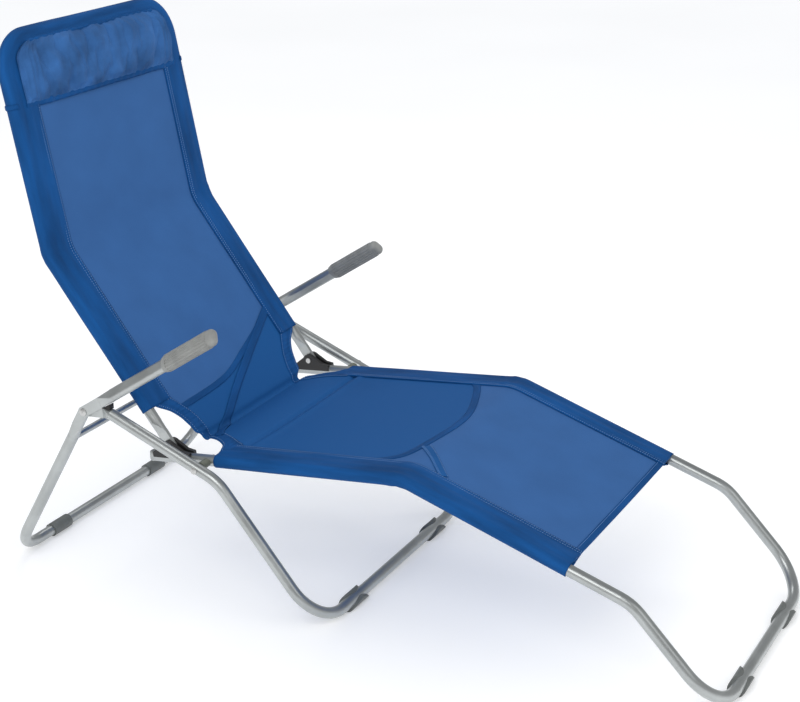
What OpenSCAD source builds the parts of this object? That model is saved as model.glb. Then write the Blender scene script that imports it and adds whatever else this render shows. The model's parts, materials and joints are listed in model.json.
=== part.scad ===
// Folding sling lounger: three bent tube frames and a back frame under one textile sling.
// Millimetres. +Z is up, -Y points to the foot end, and the chair is symmetric about X = 0.
// The origin lies on the floor, at the centre of the bounding box.

/* [Tubes] */
// Outer diameter of the frame tubes
tube_d = 20; // [16:0.5:25]
// Wall thickness of the frame tubes
tube_wall = 1.2; // [0.8:0.1:2]
// Thickness of a flattened tube end
flat_t = 7; // [4:0.5:9]
// Diameter of the cross-rod between the rear legs
rod_d = 12; // [8:1:16]

/* [Widths] */
// Width between the centrelines of the two leg sides
base_w = 560; // [480:5:640]
// Width between the centrelines of the seat and back tubes
seat_w = 480; // [400:5:560]

/* [Front leg frame] */
// Height of the leg pivot above the floor
pivot_h = 324; // [280:1:360]
// Run of the flattened shoulder in front of the pivot
shoulder_run = 55; // [45:1:70]
// Rise of the shoulder over its run
shoulder_rise = 4; // [0:1:10]
// Slope of the upper stretch, degrees below the horizontal
front_upper_angle = 21.8; // [15:0.1:30]
// Length of the upper stretch
front_upper_len = 229; // [200:1:260]
// Slope of the lower stretch, degrees below the horizontal
front_lower_angle = 50.4; // [40:0.1:65]
// Bend radius at the floor
front_bend_r = 80; // [50:1:100]

/* [Rear leg frame] */
// Slope of the rear legs, degrees below the horizontal
rear_leg_angle = 59.7; // [50:0.1:70]
// Bend radius at the floor
rear_bend_r = 65; // [50:1:90]
// Distance of the cross-rod from the leg pivot
rod_drop = 66; // [60:1:90]

/* [Armrests] */
// Slope of the armrests, degrees above the horizontal
arm_angle = 33.3; // [20:0.1:40]
// Length from the leg pivot to the tip of the grip
arm_len = 334; // [280:1:380]
// Broad side of the flat-oval armrest tube
arm_broad = 24; // [20:0.5:28]
// Narrow side of the flat-oval armrest tube
arm_thin = 14; // [10:0.5:18]
// Inward lean of the broad side, degrees
arm_lean = 35; // [0:1:60]
// Length of a grip with its collar and cap
grip_len = 124; // [100:1:150]
// Wall of a grip over the tube
grip_wall = 4; // [2.5:0.5:6]

/* [Seat frame] */
// Distance of the seat pivot along the front frame's upper stretch
seat_pivot_at = 185; // [160:1:200]
// Upward slope of the seat towards the knee, degrees
seat_angle = 5.9; // [0:0.1:12]
// Length from the seat pivot to the knee bend
seat_len = 371; // [320:1:420]
// Length of the seat tube behind its pivot
tail_len = 123; // [110:1:140]
// Slope of the leg rest, degrees below the horizontal
shin_angle = 18.2; // [10:0.1:30]
// Length of the leg rest from the knee to the toe bend
shin_len = 417; // [360:1:480]
// Slope of the toe loop, degrees below the horizontal
toe_angle = 46.2; // [35:0.1:60]
// Bend radius of the toe loop at the floor
toe_bend_r = 80; // [60:1:80]

/* [Back frame] */
// Distance of the back hinge behind the seat pivot
hinge_back = 76.6; // [65:0.1:90]
// Height of the back hinge above the seat tube's centreline
hinge_up = 20.5; // [20.5:0.1:26]
// Slope of the lower back, degrees above the horizontal
lumbar_angle = 52.8; // [45:0.1:70]
// Length from the back hinge to the bend
lumbar_len = 388; // [340:1:430]
// Slope of the upper back, degrees above the horizontal
upper_angle = 78.7; // [70:0.1:85]
// Length of the upper back to the centreline of the top bar
upper_len = 374; // [320:1:420]
// Bend radius at the top corners
top_bend_r = 66; // [50:1:90]

/* [Sling] */
// Thickness of the textile
cloth_t = 1.6; // [1:0.1:3]
// Clearance between a sleeve and its tube
sleeve_gap = 0.3; // [0.2:0.05:1]
// Length of the head pillow along the back
pillow_len = 102; // [80:1:140]
// Thickness of the head pillow
pillow_t = 22; // [14:1:35]

/* [Feet] */
// Length of a clip foot at the ground
clip_len = 76; // [50:1:76]
// Thickness of a clip foot beside its tube
clip_wall = 4.5; // [2.5:0.5:6]
// Distance of the toe feet from the middle
toe_foot_x = 122; // [100:1:122]
// Length of a rear foot sleeve
sleeve_len = 50; // [40:1:70]
// Distance of the leg feet from the middle
foot_x = 154; // [120:1:180]
// Thickness of plastic under a tube
foot_t = 2.5; // [2:0.5:5]

/* [Hidden] */
$fn = 64;
tube_r = tube_d / 2;
base_x = base_w / 2;
seat_x = seat_w / 2;
floor_z = tube_r + foot_t;
side_bend_r = 80;
pin_r = 4;
pin_gap = 0.05;
hinge_pin_r = 3;
head_t = 3;
plate_gap = 0.4;
hull_fn = 32;
hull_lap = 1;
hull_less = 0.5;
tongue_less = 0.3;
collar_gap = 0.5;
collar_len = 1.2;
collar_d = 0.08;

function unit(v) = v / norm(v);
function down(angle) = [0, -cos(angle), -sin(angle)];
function up_front(angle) = [0, -cos(angle), sin(angle)];
function up_back(angle) = [0, cos(angle), sin(angle)];
function to_floor(angle) = 1 / sin(angle);

// Reach of the floor crossbars behind and in front of the leg pivot
rear_reach = (pivot_h - floor_z) / tan(rear_leg_angle);
knee_rise = shoulder_rise - seat_pivot_at * sin(front_upper_angle) + seat_len * sin(seat_angle);
toe_drop = pivot_h + knee_rise - shin_len * sin(shin_angle) - floor_z;
front_reach = shoulder_run + seat_pivot_at * cos(front_upper_angle) + seat_len * cos(seat_angle)
    + shin_len * cos(shin_angle) + toe_drop / tan(toe_angle);

// Side profile, placed so that the bounding box is centred on Y = 0
leg_pivot = [0, (front_reach - rear_reach + tube_r + clip_wall - floor_z) / 2, pivot_h];
shoulder = leg_pivot + [0, -shoulder_run, shoulder_rise];
front_knee = shoulder + front_upper_len * down(front_upper_angle);
front_floor = front_knee
    + (front_knee[2] - floor_z) * to_floor(front_lower_angle) * down(front_lower_angle);
rear_dir = [0, cos(rear_leg_angle), -sin(rear_leg_angle)];
rear_floor = leg_pivot + (pivot_h - floor_z) * to_floor(rear_leg_angle) * rear_dir;
rod_at = leg_pivot + rod_drop * rear_dir;
seat_pivot = shoulder + seat_pivot_at * down(front_upper_angle);
seat_knee = seat_pivot + seat_len * up_front(seat_angle);
toe_bend = seat_knee + shin_len * down(shin_angle);
toe_floor = toe_bend + (toe_bend[2] - floor_z) * to_floor(toe_angle) * down(toe_angle);
seat_back_dir = [0, cos(seat_angle), -sin(seat_angle)];
seat_up_dir = [0, sin(seat_angle), cos(seat_angle)];
back_pivot = seat_pivot + hinge_back * seat_back_dir + hinge_up * seat_up_dir;
back_bend = back_pivot + lumbar_len * up_back(lumbar_angle);
back_top = back_bend + upper_len * up_back(upper_angle);

// Flattened ends and hinge block
plate_half = 10;
arm_plate_len = 44;
leg_plate_len = 34;
leg_round_at = 60;
arm_oval_at = 74;
arm_x = base_x + plate_gap / 2 + flat_t / 2;
shoulder_x = base_x - plate_gap / 2 - flat_t / 2;
back_plate_len = 30;
back_round_at = 48;
tail_flat = 12;
shoulder_plate_len = 37.5;
cap_len = 16;
clip_rise = 21.5;
clip_tilt = 32;
grip_taper = 10;
flute_r = 1.8;
flute_pitch = 5;
flute_out = 0.6;
cap_step = 2;
tail_round_r = 5;
block_front = 34;
block_rear = 110;
block_half = 11;
block_low = 1;
slot_gap = 0.4;

// Sling extents, measured along each frame from its own hinge
sleeve_in = tube_r + sleeve_gap;
sleeve_out = sleeve_in + cloth_t;
panel_edge = seat_x - sleeve_out - 0.4;
panel_low = sleeve_out - cloth_t;
seat_sleeve_start = 14;
shin_sleeve_end = 306;
seat_panel_back = 52;
back_sleeve_start = 74;
back_panel_start = 14;
pillow_drop = 14;

// Frame of the seat: Y runs back along the seat tube, Z is square to it
module at_seat() {
    translate(seat_pivot) rotate([-seat_angle, 0, 0]) children();
}

// Frame of the upper back, starting at the bend
module at_upper_back() {
    translate(back_bend) rotate([upper_angle, 0, 0]) children();
}

// Frame of an armrest on one side: Z runs along it, X is its broad direction
module at_arm(side, at) {
    translate(leg_pivot + at * up_front(arm_angle) + [side * arm_x, 0, 0])
        rotate([90 - arm_angle, 0, 0])
            rotate([0, 0, 90 + side * arm_lean])
                children();
}

// Straight rod between two points
module bar(a, b, d) {
    v = b - a;
    translate(a)
        rotate([0, acos(v[2] / norm(v)), atan2(v[1], v[0])])
            cylinder(h = norm(v), d = d);
}

// Length that a bend takes from each side of its corner
function trim(u, v, r) = r * tan(acos(u * v) / 2);

// Round bend at corner p, entered along u and left along v
module elbow(p, u, v, r, d) {
    side = unit(v - (u * v) * u);
    n = cross(u, side);
    c = p - trim(u, v, r) * u + r * side;
    multmatrix([
        [-side[0], u[0], n[0], c[0]],
        [-side[1], u[1], n[1], c[1]],
        [-side[2], u[2], n[2], c[2]],
        [0, 0, 0, 1]
    ])
        rotate_extrude(angle = acos(u * v))
            translate([r, 0]) circle(d = d);
}

// Rod of diameter d through points p, with a bend of radius r[i] at each inner point.
// A hair-thin collar joins each straight to its bend.
module run(p, r, d) {
    last = len(p) - 1;
    dirs = [for (i = [0 : last - 1]) unit(p[i + 1] - p[i])];
    cut = [for (i = [0 : last]) (i == 0 || i == last) ? 0 : trim(dirs[i - 1], dirs[i], r[i])];
    for (i = [0 : last - 1]) {
        a = p[i] + (i == 0 ? 0 : cut[i] + collar_gap) * dirs[i];
        b = p[i + 1] - (i == last - 1 ? 0 : cut[i + 1] + collar_gap) * dirs[i];
        bar(a, b, d);
    }
    for (i = [1 : last - 1]) {
        elbow(p[i], dirs[i - 1], dirs[i], r[i], d);
        start = p[i] - cut[i] * dirs[i - 1];
        finish = p[i] + cut[i] * dirs[i];
        bar(start - collar_len * dirs[i - 1], start + collar_len * dirs[i - 1], d + collar_d);
        bar(finish - collar_len * dirs[i], finish + collar_len * dirs[i], d + collar_d);
    }
}

module tube_run(p, r) {
    difference() {
        run(p, r, tube_d);
        run(p, r, tube_d - 2 * tube_wall);
    }
}

// Both sides of a U, from one end round to the other
function mirrored(p) = concat(p, [for (i = [len(p) - 1 : -1 : 0]) [-p[i][0], p[i][1], p[i][2]]]);
function both(r) = concat(r, [for (i = [len(r) - 1 : -1 : 0]) r[i]]);
function at_x(p, x) = [x, p[1], p[2]];

// Flattened tube end: a round-nosed tongue in the YZ plane for each [slope, length] in arms
module tongues(q, x, arms) {
    translate([x - flat_t / 2, q[1], q[2]]) rotate([90, 0, 90])
        linear_extrude(flat_t) {
            circle(r = plate_half);
            for (arm = arms)
                rotate(arm[0]) translate([0, tongue_less - plate_half])
                    square([arm[1], 2 * (plate_half - tongue_less)]);
        }
}

// Blend from the end of a tongue at a, running along v, to a round tube that starts at b along w
module squeeze(a, v, x, b, w) {
    hull() {
        translate([x, a[1], a[2]]) rotate([atan2(v[2], v[1]), 0, 0])
            translate([-(flat_t - hull_less) / 2, -hull_lap, hull_less - plate_half])
                cube([flat_t - hull_less, hull_lap, 2 * (plate_half - hull_less)]);
        bar(b, b + hull_lap * w, tube_d - hull_less, $fn = hull_fn);
    }
}

module cross_hole(q, r) {
    translate([-base_w, q[1], q[2]]) rotate([0, 90, 0]) cylinder(h = 2 * base_w, r = r);
}

// ---- Front leg frame ----

module front_leg_tube() {
    side = [at_x(shoulder, base_x), at_x(front_knee, base_x), at_x(front_floor, base_x)];
    reach = unit(shoulder - leg_pivot);
    flat_end = leg_pivot + shoulder_plate_len * reach;
    color("silver")
        difference() {
            union() {
                tube_run(mirrored(side), both([0, side_bend_r, front_bend_r]));
                for (s = [-1, 1]) {
                    tongues(leg_pivot, s * shoulder_x, [[atan2(reach[2], reach[1]), shoulder_plate_len]]);
                    squeeze(flat_end, reach, s * shoulder_x,
                        at_x(shoulder, s * base_x), down(front_upper_angle));
                }
            }
            cross_hole(leg_pivot, pin_r);
            cross_hole(seat_pivot, pin_r);
        }
}

// Clip foot under a crossbar: a flat-based cradle whose arched ears reach round the tube
module clip_foot(at, x) {
    outer = tube_r + clip_wall;
    arch_r = (clip_len * clip_len / 4 + clip_rise * clip_rise) / (2 * clip_rise);
    color([0.36, 0.37, 0.37])
        translate([x, at[1], floor_z])
            difference() {
                translate([-clip_len / 2, 0, 0]) rotate([0, 90, 0]) cylinder(h = clip_len, r = outer);
                translate([-clip_len, 0, 0]) rotate([0, 90, 0]) cylinder(h = 2 * clip_len, r = tube_r);
                translate([-clip_len, -base_w, -base_w - floor_z]) cube([2 * clip_len, 2 * base_w, base_w]);
                rotate([clip_tilt, 0, 0]) {
                    translate([-clip_len, -base_w, clip_rise - floor_z])
                        cube([2 * clip_len, 2 * base_w, base_w]);
                    difference() {
                        cube([2 * clip_len, 3 * outer, 3 * outer], center = true);
                        translate([0, 2 * outer, clip_rise - floor_z - arch_r]) rotate([90, 0, 0])
                            cylinder(h = 4 * outer, r = arch_r, $fn = 128);
                    }
                }
            }
}

module front_foot_left() {
    clip_foot(front_floor, -foot_x);
}

module front_foot_right() {
    clip_foot(front_floor, foot_x);
}

// Bumper wedge on the shoulder that an armrest rests on
module arm_bumper(side) {
    color([0.1, 0.1, 0.1])
        translate([side * base_x - 6, shoulder[1], shoulder[2]])
            rotate([90, 0, 90])
                linear_extrude(12)
                    polygon([[-2, 9.4], [14, 10], [14, 10.4], [-2, 19.8]]);
}

module arm_bumper_left() {
    arm_bumper(-1);
}

module arm_bumper_right() {
    arm_bumper(1);
}

// Rivets through both flattened ends, one on each side
module leg_rivets() {
    inner = shoulder_x - flat_t / 2;
    outer = arm_x + flat_t / 2;
    color([0.75, 0.76, 0.76])
        for (s = [-1, 1])
            translate(leg_pivot) rotate([0, s * 90, 0]) {
                translate([0, 0, inner]) cylinder(h = outer - inner, r = pin_r - pin_gap);
                translate([0, 0, outer]) rivet_head(7);
                translate([0, 0, inner - head_t]) cylinder(h = head_t, r = 6);
            }
}

// Low domed head
module rivet_head(r) {
    intersection() {
        cylinder(h = head_t, r = r);
        translate([0, 0, head_t - 2.2 * r]) sphere(r = 2.2 * r);
    }
}

// ---- Rear leg frame with its armrests ----

module rear_leg_tube() {
    leg_start = leg_pivot + leg_round_at * rear_dir;
    leg_flat = leg_pivot + leg_plate_len * rear_dir;
    side = [at_x(leg_start, base_x), at_x(rear_floor, base_x)];
    color("silver")
        difference() {
            union() {
                tube_run(mirrored(side), both([0, rear_bend_r]));
                for (s = [-1, 1]) {
                    tongues(leg_pivot, s * arm_x,
                        [[-rear_leg_angle, leg_plate_len], [180 - arm_angle, arm_plate_len]]);
                    squeeze(leg_flat, rear_dir, s * arm_x, at_x(leg_start, s * base_x), rear_dir);
                    arm_blend(s);
                    at_arm(s, arm_oval_at) linear_extrude(arm_len - arm_oval_at - cap_len)
                        difference() {
                            oval(arm_broad, arm_thin, $fn);
                            oval(arm_broad - 2 * tube_wall, arm_thin - 2 * tube_wall, $fn);
                        }
                }
            }
            cross_hole(leg_pivot, pin_r);
        }
}

// Blend from the flattened pivot end to the leaning oval of an armrest
module arm_blend(side) {
    end = leg_pivot + arm_plate_len * up_front(arm_angle);
    hull() {
        translate([side * arm_x, end[1], end[2]]) rotate([180 - arm_angle, 0, 0])
            translate([-(flat_t - hull_less) / 2, -hull_lap, hull_less - plate_half])
                cube([flat_t - hull_less, hull_lap, 2 * (plate_half - hull_less)]);
        at_arm(side, arm_oval_at)
            linear_extrude(hull_lap) oval(arm_broad - hull_less, arm_thin - hull_less, hull_fn);
    }
}

// Flat oval: a bar with two round ends
module oval(broad, thin, fn) {
    square([broad - thin, thin], center = true);
    for (s = [-1, 1])
        translate([s * (broad - thin) / 2, 0]) circle(d = thin, $fn = fn);
}

module cross_rod() {
    color("silver")
        difference() {
            translate([-base_x, rod_at[1], rod_at[2]]) rotate([0, 90, 0]) cylinder(h = base_w, d = rod_d);
            for (s = [-1, 1])
                bar(at_x(leg_pivot, s * base_x), at_x(rear_floor, s * base_x), tube_d);
        }
}

// Round sleeve foot with a flared middle
module sleeve_foot(side) {
    color([0.3, 0.31, 0.31])
        translate([side * foot_x - sleeve_len / 2, rear_floor[1], floor_z]) rotate([0, 90, 0])
            difference() {
                cylinder(h = sleeve_len, r = floor_z);
                translate([0, 0, -1]) cylinder(h = sleeve_len + 2, r = tube_r);
            }
}

module rear_foot_left() {
    sleeve_foot(-1);
}

module rear_foot_right() {
    sleeve_foot(1);
}

// Fluted grip that tapers towards the armrest tube
module grip(side) {
    outer_b = arm_broad + 2 * grip_wall;
    outer_t = arm_thin + 2 * grip_wall;
    body_len = grip_len - cap_len;
    color([0.6, 0.6, 0.58])
        at_arm(side, arm_len - grip_len)
            difference() {
                union() {
                    hull() {
                        linear_extrude(1) oval(arm_broad + 3, arm_thin + 3, hull_fn);
                        translate([0, 0, grip_taper - 1]) linear_extrude(1) oval(outer_b, outer_t, hull_fn);
                    }
                    translate([0, 0, grip_taper - 2]) linear_extrude(body_len - grip_taper + 2)
                        difference() {
                            oval(outer_b, outer_t, $fn);
                            for (i = [-1 : 1], s = [-1, 1])
                                translate([i * flute_pitch, s * (outer_t / 2 + flute_out)])
                                    circle(r = flute_r, $fn = 24);
                            for (a = [-60, -30, 0, 30, 60], s = [-1, 1])
                                translate([s * (outer_b - outer_t) / 2, 0]) rotate(90 - s * 90 + a)
                                    translate([outer_t / 2 + flute_out, 0])
                                        circle(r = flute_r, $fn = 24);
                        }
                }
                translate([0, 0, -1]) linear_extrude(body_len + 2) oval(arm_broad, arm_thin, $fn);
            }
}

module grip_left() {
    grip(-1);
}

module grip_right() {
    grip(1);
}

// Domed cap on the tip of a grip
module grip_cap(side) {
    thick = arm_thin + 2 * grip_wall - cap_step;
    broad = arm_broad + 2 * grip_wall - cap_step;
    dome = cap_len - thick / 2;
    color([0.6, 0.6, 0.58])
        at_arm(side, arm_len - cap_len) {
            linear_extrude(dome) oval(broad, thick, $fn);
            intersection() {
                translate([-broad, -broad, dome]) cube([2 * broad, 2 * broad, cap_len]);
                union() {
                    translate([-(broad - thick) / 2, 0, dome]) rotate([0, 90, 0])
                        cylinder(h = broad - thick, d = thick);
                    for (s = [-1, 1])
                        translate([s * (broad - thick) / 2, 0, dome]) sphere(d = thick);
                }
            }
        }
}

module grip_cap_left() {
    grip_cap(-1);
}

module grip_cap_right() {
    grip_cap(1);
}

// ---- Seat frame ----

module seat_tube() {
    tail_round = seat_pivot + (tail_len - tail_flat) * seat_back_dir;
    side = [for (p = [tail_round, seat_knee, toe_bend, toe_floor]) at_x(p, seat_x)];
    color("silver")
        difference() {
            union() {
                tube_run(mirrored(side), both([0, side_bend_r, side_bend_r, toe_bend_r]));
                for (s = [-1, 1])
                    tail_end(at_x(tail_round, s * seat_x));
            }
            cross_hole(seat_pivot, pin_r);
        }
}

// Pressed tube end with rounded corners
module tail_end(p) {
    hull() {
        bar(p - hull_lap * seat_back_dir, p, tube_d - hull_less, $fn = hull_fn);
        translate(p + (tail_flat - tail_round_r) * seat_back_dir) rotate([0, 90, 0])
            for (h = [-1, 1])
                translate([h * (plate_half - tail_round_r), 0, -flat_t / 2])
                    cylinder(h = flat_t, r = tail_round_r, $fn = hull_fn);
    }
}

module toe_foot_left() {
    clip_foot(toe_floor, -toe_foot_x);
}

module toe_foot_right() {
    clip_foot(toe_floor, toe_foot_x);
}

// Rivets through the leg and seat tubes, one on each side
module seat_rivets() {
    inner = seat_x - tube_r;
    outer = base_x + tube_r;
    color([0.75, 0.76, 0.76])
        for (s = [-1, 1])
            translate([0, seat_pivot[1], seat_pivot[2]]) rotate([0, s * 90, 0]) {
                translate([0, 0, inner]) cylinder(h = outer - inner, r = pin_r - pin_gap);
                translate([0, 0, outer]) rivet_head(6);
                translate([0, 0, inner - head_t]) cylinder(h = head_t, r = 6);
            }
}

// Spacer rings between the leg and seat tubes
module seat_spacers() {
    color([0.42, 0.44, 0.38])
        for (s = [-1, 1])
            translate([0, seat_pivot[1], seat_pivot[2]]) rotate([0, s * 90, 0])
                translate([0, 0, seat_x + tube_r]) difference() {
                    cylinder(h = base_x - seat_x - tube_d, r = 7.5);
                    translate([0, 0, -1]) cylinder(h = base_x, r = pin_r);
                }
}

// Hinge block: saddle on the seat tube with a slot for the flattened back tube
module hinge_block(side) {
    rest = lumbar_angle + seat_angle;
    color([0.09, 0.09, 0.09])
        at_seat()
            difference() {
                translate([side * seat_x - block_half, 0, 0]) rotate([90, 0, 90])
                    linear_extrude(2 * block_half) block_outline();
                translate([side * seat_x, block_front - 1, 0]) rotate([-90, 0, 0])
                    cylinder(h = block_rear, r = tube_r);
                translate([side * seat_x - flat_t / 2 - slot_gap, hinge_back, hinge_up])
                    rotate([rest, 0, 0])
                        translate([0, -plate_half - 40, -plate_half - slot_gap])
                            cube([flat_t + 2 * slot_gap, 200, 200]);
                translate([side * seat_x - flat_t / 2 - slot_gap, hinge_back, hinge_up])
                    rotate([0, 90, 0]) cylinder(h = flat_t + 2 * slot_gap, r = plate_half + slot_gap);
                translate([-base_w, hinge_back, hinge_up]) rotate([0, 90, 0])
                    cylinder(h = 2 * base_w, r = hinge_pin_r);
            }
}

// Side outline of the block: round over the pin, sloping to a low front
module block_outline() {
    translate([hinge_back, hinge_up]) circle(r = 12);
    polygon([
        [block_front, block_low],
        [block_rear, block_low],
        [block_rear, 10],
        [hinge_back + 10.4, hinge_up + 6],
        [hinge_back - 6, hinge_up + 10.4],
        [block_front + 14, 15],
        [block_front, 12]
    ]);
}

module hinge_block_left() {
    hinge_block(-1);
}

module hinge_block_right() {
    hinge_block(1);
}

// Hinge pins through the blocks, one on each side
module hinge_pins() {
    color([0.75, 0.76, 0.76])
        for (s = [-1, 1])
            translate([s * seat_x, 0, 0]) translate(back_pivot) rotate([0, 90, 0]) {
                translate([0, 0, -block_half - 0.01])
                    cylinder(h = 2 * block_half + 0.02, r = hinge_pin_r - pin_gap);
                for (e = [0, 1])
                    mirror([0, 0, e]) translate([0, 0, block_half]) cylinder(h = 1.6, r = 5);
            }
}

// ---- Back frame ----

module back_tube() {
    dir = up_back(lumbar_angle);
    round_start = back_pivot + back_round_at * dir;
    side = [at_x(round_start, seat_x), at_x(back_bend, seat_x), at_x(back_top, seat_x)];
    color("silver")
        difference() {
            union() {
                tube_run(mirrored(side), both([0, side_bend_r, top_bend_r]));
                for (s = [-1, 1]) {
                    tongues(back_pivot, s * seat_x, [[lumbar_angle, back_plate_len]]);
                    squeeze(back_pivot + back_plate_len * dir, dir, s * seat_x,
                        at_x(round_start, s * seat_x), dir);
                }
            }
            cross_hole(back_pivot, hinge_pin_r);
        }
}

// ---- Sling ----

// Sleeve of cloth round a stretch of tube
module sleeve_run(p, r) {
    difference() {
        run(p, r, 2 * sleeve_out);
        run(p, r, 2 * sleeve_in);
    }
}

module back_hem() {
    start = back_pivot + back_sleeve_start * up_back(lumbar_angle);
    side = [at_x(start, seat_x), at_x(back_bend, seat_x), at_x(back_top, seat_x)];
    color([0.08, 0.29, 0.55])
        sleeve_run(mirrored(side), both([0, side_bend_r, top_bend_r]));
}

module seat_hem(side) {
    start = seat_pivot - seat_sleeve_start * seat_back_dir;
    finish = seat_knee + shin_sleeve_end * down(shin_angle);
    color([0.08, 0.29, 0.55])
        sleeve_run([for (p = [start, seat_knee, finish]) at_x(p, side * seat_x)], [0, side_bend_r, 0]);
}

module seat_hem_left() {
    seat_hem(-1);
}

module seat_hem_right() {
    seat_hem(1);
}

// Strip in the YZ plane, parallel to a bent centreline and cloth_t thick
module panel(p, half_w) {
    a = [for (q = p) [q[1], q[2]]];
    n1 = normal(a[0], a[1]);
    n2 = normal(a[1], a[2]);
    mid = (n1 + n2) / (1 + n1 * n2);
    rotate([90, 0, 90])
        translate([0, 0, -half_w])
            linear_extrude(2 * half_w)
                polygon([
                    a[0] + panel_low * n1, a[1] + panel_low * mid, a[2] + panel_low * n2,
                    a[2] + sleeve_out * n2, a[1] + sleeve_out * mid, a[0] + sleeve_out * n1
                ]);
}

// Unit normal on the sitter's side of a stretch that runs up the back or down the seat
function normal(a, b) = [-(b - a)[1], (b - a)[0]] / norm(b - a);

module back_sling() {
    start = back_pivot + back_panel_start * up_back(lumbar_angle);
    finish = back_top - (sleeve_out + 0.4) * up_back(upper_angle);
    color([0.24, 0.4, 0.63])
        difference() {
            panel([start, back_bend, finish], panel_edge);
            for (s = [-1, 1])
                at_upper_back() top_corner(s);
        }
}

// Clears the sling round the bend at a top corner
module top_corner(side) {
    inner = top_bend_r - sleeve_out - 0.6;
    translate([side * (seat_x - top_bend_r), upper_len - top_bend_r, 0])
        translate([side > 0 ? 0 : -top_bend_r, 0, 0])
            difference() {
                cube([top_bend_r, top_bend_r, 30]);
                translate([side > 0 ? 0 : top_bend_r, 0, -1]) cylinder(h = 32, r = inner);
            }
}

module seat_sling() {
    start = seat_knee + (shin_sleeve_end - 2) * down(shin_angle);
    finish = seat_pivot + seat_panel_back * seat_back_dir;
    color([0.24, 0.4, 0.63])
        panel([start, seat_knee, finish], panel_edge);
}

// Padded mesh bag across the top of the back
module head_pillow() {
    half = seat_x - sleeve_out - 12;
    lift = sleeve_out + 0.3;
    color([0.3, 0.45, 0.7])
        at_upper_back()
            translate([-half, upper_len - pillow_drop - pillow_len, lift])
                rotate([90, 0, 90])
                    linear_extrude(2 * half)
                        intersection() {
                            square([pillow_len, pillow_t]);
                            translate([pillow_len / 2, pillow_t - pillow_arc])
                                circle(r = pillow_arc, $fn = 96);
                        }
}

pillow_arc = (pillow_len * pillow_len / 4 + pillow_t * pillow_t) / (2 * pillow_t);

front_leg_tube();
front_foot_left();
front_foot_right();
arm_bumper_left();
arm_bumper_right();
leg_rivets();
rear_leg_tube();
cross_rod();
rear_foot_left();
rear_foot_right();
grip_left();
grip_right();
grip_cap_left();
grip_cap_right();
seat_tube();
toe_foot_left();
toe_foot_right();
seat_rivets();
seat_spacers();
hinge_block_left();
hinge_block_right();
hinge_pins();
back_tube();
back_hem();
seat_hem_left();
seat_hem_right();
back_sling();
seat_sling();
head_pillow();
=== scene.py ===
import json
import math

import bpy
import numpy as np
from mathutils import Matrix, Vector, noise


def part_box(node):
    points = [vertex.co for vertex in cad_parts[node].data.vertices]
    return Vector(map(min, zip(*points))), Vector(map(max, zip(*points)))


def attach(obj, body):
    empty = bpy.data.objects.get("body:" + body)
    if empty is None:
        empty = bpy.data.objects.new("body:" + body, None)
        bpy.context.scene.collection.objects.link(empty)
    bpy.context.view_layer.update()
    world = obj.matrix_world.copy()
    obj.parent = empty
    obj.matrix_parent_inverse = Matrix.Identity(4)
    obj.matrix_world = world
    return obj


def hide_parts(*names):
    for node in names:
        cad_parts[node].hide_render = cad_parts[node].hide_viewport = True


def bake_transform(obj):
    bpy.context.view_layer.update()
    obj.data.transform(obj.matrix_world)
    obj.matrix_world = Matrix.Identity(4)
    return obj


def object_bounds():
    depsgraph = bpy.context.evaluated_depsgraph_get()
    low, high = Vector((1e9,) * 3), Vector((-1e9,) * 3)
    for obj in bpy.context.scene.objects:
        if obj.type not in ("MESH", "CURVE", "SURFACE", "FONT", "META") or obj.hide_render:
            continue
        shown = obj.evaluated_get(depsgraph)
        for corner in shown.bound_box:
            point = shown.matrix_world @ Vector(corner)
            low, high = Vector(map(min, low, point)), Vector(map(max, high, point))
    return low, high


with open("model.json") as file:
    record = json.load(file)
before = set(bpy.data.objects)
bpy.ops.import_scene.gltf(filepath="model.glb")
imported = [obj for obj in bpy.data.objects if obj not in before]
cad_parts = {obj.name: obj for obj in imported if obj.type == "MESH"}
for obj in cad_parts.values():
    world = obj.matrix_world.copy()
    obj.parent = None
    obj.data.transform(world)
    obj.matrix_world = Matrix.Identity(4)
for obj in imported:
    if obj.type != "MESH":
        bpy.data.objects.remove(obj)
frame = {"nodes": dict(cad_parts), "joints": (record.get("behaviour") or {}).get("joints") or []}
cad_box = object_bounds()

# ---- Driving sizes, in metres and degrees, as in the part's source ----

TUBE_R = 0.010
SEAT_SLOPE = 5.9
SHIN_SLOPE = 18.2
LUMBAR_SLOPE = 52.8
UPPER_SLOPE = 78.7
SEAT_LEN = 0.371
LUMBAR_LEN = 0.388
UPPER_LEN = 0.374
SIDE_BEND_R = 0.080
TOP_BEND_R = 0.066
SEAT_SLEEVE_START = 0.014
SHIN_SLEEVE_END = 0.306
BACK_SLEEVE_START = 0.072

CLOTH_T = 0.0012
SLEEVE_R = 0.0109
HEM_SIDE = 0.054
HEM_SEAT = 0.050
HEM_TOP = 0.022
EDGE_INSET = 0.010
CREASE_R = 0.010
PANEL_LIFT = SLEEVE_R - 0.0014
# Height of a sewn band over the panel, its own thickness, and its stitches' height
BAND_LIFT = 0.0011
BAND_T = 0.0009
BAND_STITCH_LIFT = 0.0022
SEAM_INSETS = (0.0025, 0.0085)

joints = {joint["name"]: joint for joint in frame["joints"]}
SEAT_PIVOT = Vector(joints["seat_tilt"]["pos_m"])
BACK_PIVOT = Vector(joints["back_fold"]["pos_m"])
LEG_PIVOT = Vector(joints["rear_leg_fold"]["pos_m"])


def along(angle, front=1):
    """Direction in the side view that rises by angle, towards the foot end if front is -1."""
    return Vector((0, front * math.cos(math.radians(angle)), math.sin(math.radians(angle))))


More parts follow.
